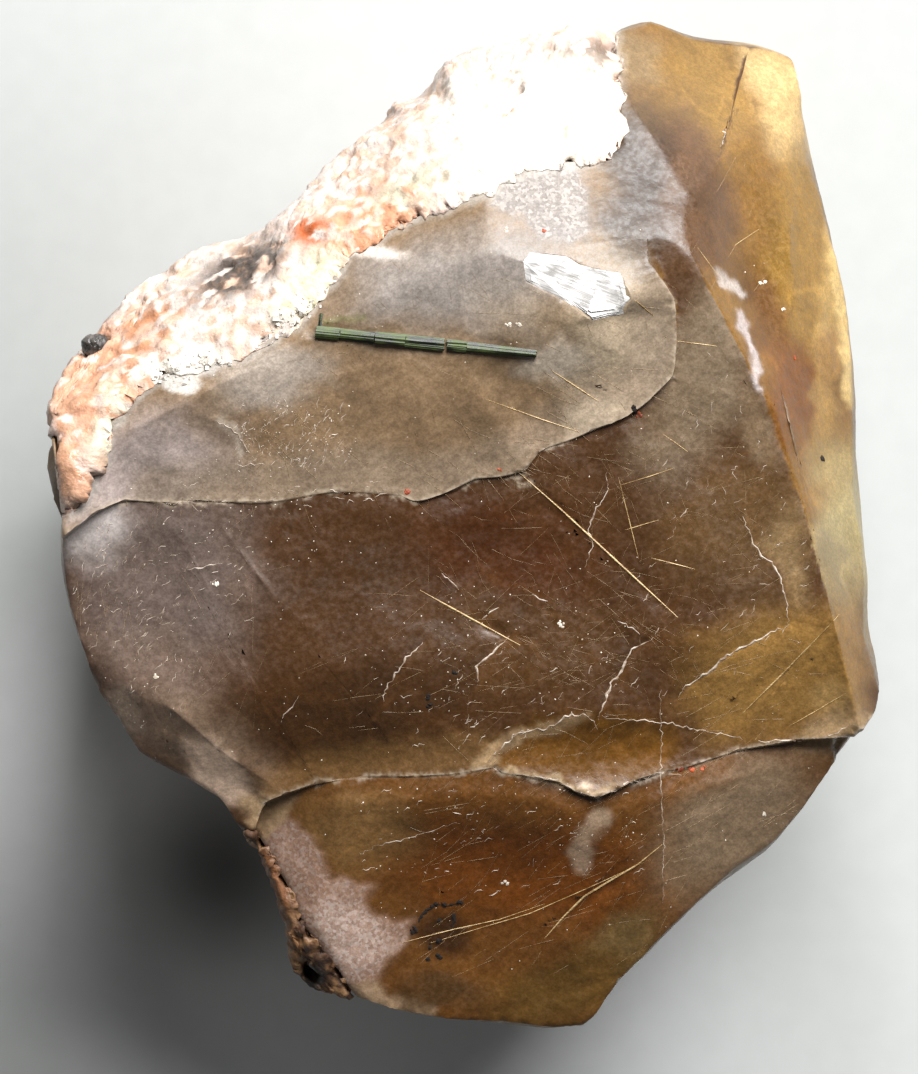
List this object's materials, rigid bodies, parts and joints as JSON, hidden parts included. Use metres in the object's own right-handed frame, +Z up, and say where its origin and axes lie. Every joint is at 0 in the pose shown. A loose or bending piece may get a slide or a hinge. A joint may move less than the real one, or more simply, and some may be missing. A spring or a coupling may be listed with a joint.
{
  "type": "rutilated quartz specimen",
  "caption": "Rough translucent golden-brown rutilated quartz lump with stepped fracture faces, golden needles and a pale feldspar crust; rests on its flat broken base.",
  "frame": {"origin": "centre of the bounding box in plan, on the flat broken base", "axes": "+Z up out of the broad stepped fracture faces, +Y towards the far narrow top of the lump, +X to the right as seen in the picture, which looks straight down"},
  "size_m": [0.0424, 0.0508, 0.0287],
  "materials": {
    "smoky_quartz": "translucent smoky golden-brown quartz on conchoidal broken faces, glassy, with paler milky veils near the fractures and golden rutile hairs inside",
    "feldspar": "granular off-white to peach feldspar and quartz matrix, matt to sugary",
    "limonite": "earthy rust-brown iron stain, matt",
    "actinolite": "dark green, striated lengthwise, silky",
    "mica": "silvery white flake, pearly, finely striated",
    "rutile": "golden needle, adamantine",
    "dark_quartz": "smoky grey quartz grain, greasy"
  },
  "bodies": {
    "root": {"smoky_quartz": "smoky_quartz", "feldspar_crust": "feldspar", "limonite_crust": "limonite", "actinolite_needle": "actinolite", "mica_flake": "mica", "smoky_grain": "dark_quartz", "rutile_needle_1": "rutile", "rutile_needle_2": "rutile", "rutile_needle_3": "rutile", "rutile_needle_4": "rutile", "rutile_needle_5": "rutile"}
  },
  "joints": []
}
